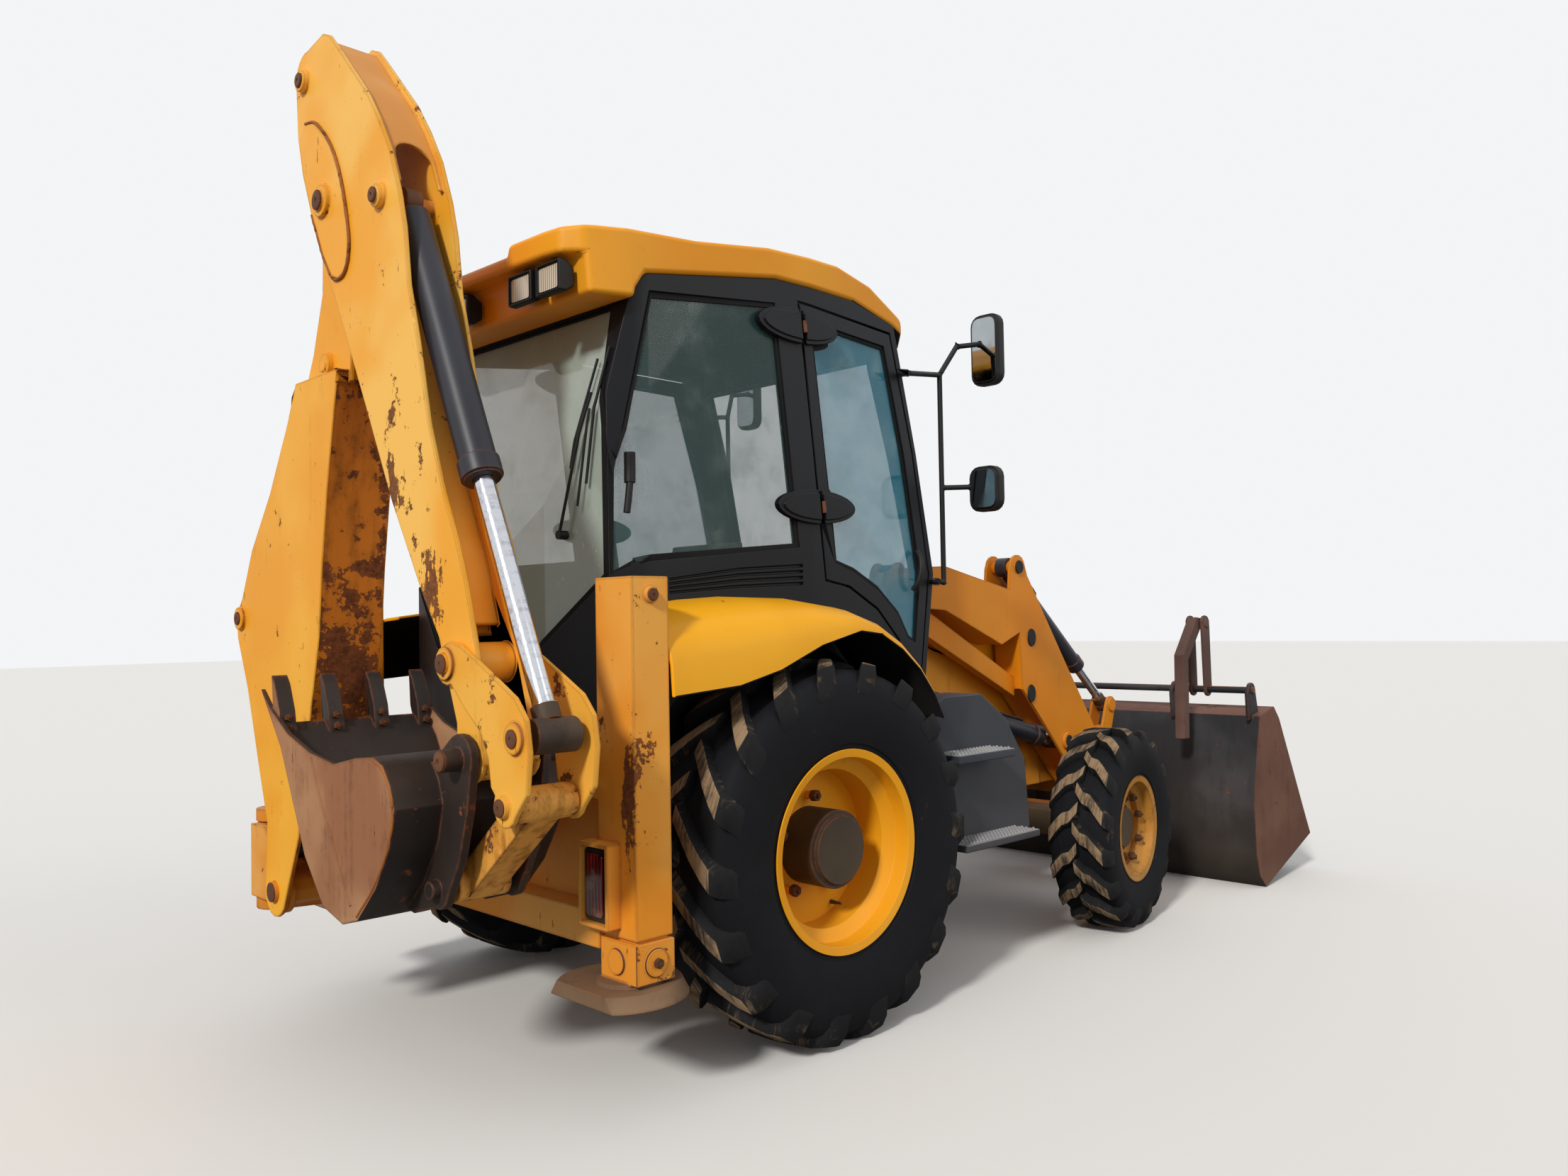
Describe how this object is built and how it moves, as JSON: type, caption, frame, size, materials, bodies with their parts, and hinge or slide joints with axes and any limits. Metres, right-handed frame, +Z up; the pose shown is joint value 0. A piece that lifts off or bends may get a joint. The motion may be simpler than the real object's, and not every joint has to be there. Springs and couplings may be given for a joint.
{
  "type": "backhoe loader",
  "caption": "Backhoe loader with a wide front bucket with folded forks and a side-shifting digging arm folded across its tail.",
  "frame": {"origin": "middle of the bounding box's base, on the ground", "axes": "+X forward, +Y to the driver's left, +Z up"},
  "size_m": [5.865, 2.516, 3.7429],
  "materials": {
    "yellow_paint": "worn satin paint",
    "black_paint": "satin paint",
    "cast": "painted casting",
    "ram_paint": "satin paint",
    "chrome": "polished",
    "rusty_steel": "rusted",
    "bucket_steel": "worn steel",
    "tyre": "dusty",
    "glass": "tinted",
    "plastic": "grained",
    "lamp": "gloss",
    "seat": "woven"
  },
  "bodies": {
    "machine": {"chassis": "yellow_paint", "engine": "cast", "tail_frame": "yellow_paint", "axles": "cast", "fenders": "yellow_paint", "cab_shell": "black_paint", "cab_roof": "yellow_paint", "cab_glass": "glass", "cab_interior": "seat", "steps": "plastic", "lamps": "lamp", "mirrors": "plastic"},
    "wheel_rear_left": {"tyre_rear_left": "tyre", "rim_rear_left": "yellow_paint"},
    "wheel_rear_right": {"tyre_rear_right": "tyre", "rim_rear_right": "yellow_paint"},
    "steering_left": {"knuckle_left": "cast"},
    "steering_right": {"knuckle_right": "cast"},
    "wheel_front_left": {"tyre_front_left": "tyre", "rim_front_left": "yellow_paint"},
    "wheel_front_right": {"tyre_front_right": "tyre", "rim_front_right": "yellow_paint"},
    "hood": {"hood": "yellow_paint"},
    "door_left": {"door_left": "black_paint"},
    "door_right": {"door_right": "black_paint"},
    "loader_arms": {"loader_arms": "yellow_paint"},
    "lift_barrels": {"lift_barrels": "ram_paint"},
    "lift_rods": {"lift_rods": "chrome"},
    "crowd_barrels": {"crowd_barrels": "ram_paint"},
    "crowd_rods": {"crowd_rods": "chrome"},
    "tip_levers": {"tip_levers": "yellow_paint"},
    "tip_links": {"tip_links": "yellow_paint"},
    "loader_bucket": {"loader_bucket": "bucket_steel"},
    "forks": {"forks": "rusty_steel"},
    "stabiliser_left": {"stabiliser_left": "yellow_paint"},
    "stabiliser_right": {"stabiliser_right": "yellow_paint"},
    "carriage": {"carriage": "yellow_paint"},
    "kingpost": {"kingpost": "yellow_paint"},
    "boom": {"boom": "yellow_paint"},
    "boom_ram_barrel": {"boom_ram_barrel": "ram_paint"},
    "boom_ram_rod": {"boom_ram_rod": "chrome"},
    "dipper": {"dipper": "yellow_paint"},
    "dipper_ram_barrel": {"dipper_ram_barrel": "ram_paint"},
    "dipper_ram_rod": {"dipper_ram_rod": "chrome"},
    "dig_ram_barrel": {"dig_ram_barrel": "ram_paint"},
    "dig_ram_rod": {"dig_ram_rod": "chrome"},
    "dig_lever": {"dig_lever": "yellow_paint"},
    "dig_link": {"dig_link": "yellow_paint"},
    "dig_bucket": {"dig_bucket": "rusty_steel"}
  },
  "joints": [
    {"name": "rear_left_roll", "type": "hinge", "parent": "machine", "child": "wheel_rear_left", "pos_m": [-1.2375, 1.021, 0.722], "axis": [0, 1, 0], "continuous": true},
    {"name": "rear_right_roll", "type": "hinge", "parent": "machine", "child": "wheel_rear_right", "pos_m": [-1.2375, -0.869, 0.722], "axis": [0, 1, 0], "continuous": true},
    {"name": "steer_left", "type": "hinge", "parent": "machine", "child": "steering_left", "pos_m": [0.9325, 0.821, 0.505], "axis": [0, 0, 1], "range_deg": [-44, 26]},
    {"name": "steer_right", "type": "hinge", "parent": "machine", "child": "steering_right", "pos_m": [0.9325, -0.669, 0.505], "axis": [0, 0, 1], "range_deg": [-44, 26]},
    {"name": "front_left_roll", "type": "hinge", "parent": "steering_left", "child": "wheel_front_left", "pos_m": [0.89965, 1.02842, 0.505], "axis": [-0.1564, 0.9877, 0], "continuous": true},
    {"name": "front_right_roll", "type": "hinge", "parent": "steering_right", "child": "wheel_front_right", "pos_m": [0.96535, -0.87642, 0.505], "axis": [-0.1564, 0.9877, 0], "continuous": true},
    {"name": "hood_lift", "type": "hinge", "parent": "machine", "child": "hood", "pos_m": [0.1095, 0.076, 1.812], "axis": [0, -1, 0], "range_deg": [0, 48]},
    {"name": "door_left_swing", "type": "hinge", "parent": "machine", "child": "door_left", "pos_m": [-0.97609, 0.868, 1.9], "axis": [-0.1247, 0, 0.9922], "range_deg": [0, 80]},
    {"name": "door_right_swing", "type": "hinge", "parent": "machine", "child": "door_right", "pos_m": [-0.97609, -0.716, 1.9], "axis": [0.1247, 0, -0.9922], "range_deg": [0, 80]},
    {"name": "arms_lift", "type": "hinge", "parent": "machine", "child": "loader_arms", "pos_m": [0.0125, 0.076, 1.74], "axis": [0, -1, 0], "range_deg": [0, 70]},
    {"name": "lift_ram_turn", "type": "hinge", "parent": "machine", "child": "lift_barrels", "pos_m": [-0.0575, 0.076, 1.205], "axis": [0, -1, 0], "range_deg": [-1, 64]},
    {"name": "lift_ram_out", "type": "slide", "parent": "lift_barrels", "child": "lift_rods", "axis": [0.9732, 0, -0.2299], "range_m": [-0.01, 0.64]},
    {"name": "bucket_tip", "type": "hinge", "parent": "loader_arms", "child": "loader_bucket", "pos_m": [2.0725, 0.076, 0.33], "axis": [0, 1, 0], "range_deg": [-20, 85]},
    {"name": "crowd_ram_turn", "type": "hinge", "parent": "loader_arms", "child": "crowd_barrels", "pos_m": [0.8355, 0.076, 1.859], "axis": [0, -1, 0], "range_deg": [-8, 8]},
    {"name": "crowd_ram_out", "type": "slide", "parent": "crowd_barrels", "child": "crowd_rods", "axis": [0.775, 0, -0.632], "range_m": [-0.2, 0.75]},
    {"name": "tip_lever_turn", "type": "hinge", "parent": "loader_arms", "child": "tip_levers", "pos_m": [1.6625, 0.076, 0.52], "axis": [0, 1, 0], "range_deg": [-20, 75]},
    {"name": "tip_link_turn", "type": "hinge", "parent": "tip_levers", "child": "tip_links", "pos_m": [1.7745, 0.076, 0.9], "axis": [0, 1, 0], "range_deg": [-75, 20]},
    {"name": "forks_fold", "type": "hinge", "parent": "loader_bucket", "child": "forks", "pos_m": [2.2625, 0.076, 1.138], "axis": [0, 1, 0], "range_deg": [0, 40]},
    {"name": "stabiliser_left_down", "type": "slide", "parent": "machine", "child": "stabiliser_left", "axis": [0, 0, -1], "range_m": [0, 0.45]},
    {"name": "stabiliser_right_down", "type": "slide", "parent": "machine", "child": "stabiliser_right", "axis": [0, 0, -1], "range_m": [0, 0.45]},
    {"name": "side_shift", "type": "slide", "parent": "machine", "child": "carriage", "axis": [0, -1, 0], "range_m": [0, 1.2]},
    {"name": "slew", "type": "hinge", "parent": "carriage", "child": "kingpost", "pos_m": [-2.6375, 0.776, 0.7], "axis": [0, 0, -1], "range_deg": [0, 180]},
    {"name": "boom_swing", "type": "hinge", "parent": "kingpost", "child": "boom", "pos_m": [-2.6375, 0.506, 0.6], "axis": [1, 0, 0], "range_deg": [0, 100]},
    {"name": "boom_ram_turn", "type": "hinge", "parent": "kingpost", "child": "boom_ram_barrel", "pos_m": [-2.6375, 0.596, 0.74], "axis": [1, 0, 0], "range_deg": [-1, 112]},
    {"name": "boom_ram_out", "type": "slide", "parent": "boom_ram_barrel", "child": "boom_ram_rod", "axis": [0, 0.2428, 0.9701], "range_m": [-0.01, 0.26]},
    {"name": "dipper_swing", "type": "hinge", "parent": "boom", "child": "dipper", "pos_m": [-2.6375, 0.066, 3.125], "axis": [-1, 0, 0], "range_deg": [0, 85]},
    {"name": "dipper_ram_turn", "type": "hinge", "parent": "boom", "child": "dipper_ram_barrel", "pos_m": [-2.6375, 0.101, 2.543], "axis": [-1, 0, 0], "range_deg": [-1, 45]},
    {"name": "dipper_ram_out", "type": "slide", "parent": "dipper_ram_barrel", "child": "dipper_ram_rod", "axis": [0, 0.122, 0.9925], "range_m": [-0.42, 0.01]},
    {"name": "dig_bucket_curl", "type": "hinge", "parent": "dipper", "child": "dig_bucket", "pos_m": [-2.6375, -0.904, 1.2], "axis": [-1, 0, 0], "range_deg": [0, 110]},
    {"name": "dig_lever_turn", "type": "hinge", "parent": "dipper", "child": "dig_lever", "pos_m": [-2.6375, -0.81, 1.48], "axis": [-1, 0, 0], "range_deg": [-1, 90]},
    {"name": "dig_link_turn", "type": "hinge", "parent": "dig_lever", "child": "dig_link", "pos_m": [-2.6375, -1.128, 1.078], "axis": [-1, 0, 0], "range_deg": [-30, 30]},
    {"name": "dig_ram_turn", "type": "hinge", "parent": "dipper", "child": "dig_ram_barrel", "pos_m": [-2.6375, -0.364, 3.03], "axis": [1, 0, 0], "range_deg": [-12, 12]},
    {"name": "dig_ram_out", "type": "slide", "parent": "dig_ram_barrel", "child": "dig_ram_rod", "axis": [0, -0.4256, -0.9049], "range_m": [-0.75, 0.01]}
  ],
  "couplings": [
    {"joint": "steer_right", "follows": "steer_left", "ratio": 1},
    {"joint": "lift_ram_turn", "follows": "arms_lift", "ratio": 0.884},
    {"joint": "lift_ram_out", "follows": "arms_lift", "m_per_rad": 0.5022},
    {"joint": "crowd_ram_turn", "follows": "bucket_tip", "ratio": -0.0197},
    {"joint": "crowd_ram_out", "follows": "bucket_tip", "m_per_rad": 0.3999},
    {"joint": "tip_lever_turn", "follows": "bucket_tip", "ratio": 0.8331},
    {"joint": "tip_link_turn", "follows": "bucket_tip", "ratio": -0.8551},
    {"joint": "boom_ram_turn", "follows": "boom_swing", "ratio": 1.0608},
    {"joint": "boom_ram_out", "follows": "boom_swing", "m_per_rad": 0.1173},
    {"joint": "dipper_ram_turn", "follows": "dipper_swing", "ratio": 0.4668},
    {"joint": "dipper_ram_out", "follows": "dipper_swing", "m_per_rad": -0.2582},
    {"joint": "dig_lever_turn", "follows": "dig_bucket_curl", "ratio": 0.622},
    {"joint": "dig_link_turn", "follows": "dig_bucket_curl", "ratio": -0.0715},
    {"joint": "dig_ram_turn", "follows": "dig_bucket_curl", "ratio": -0.0695},
    {"joint": "dig_ram_out", "follows": "dig_bucket_curl", "m_per_rad": -0.2247}
  ]
}
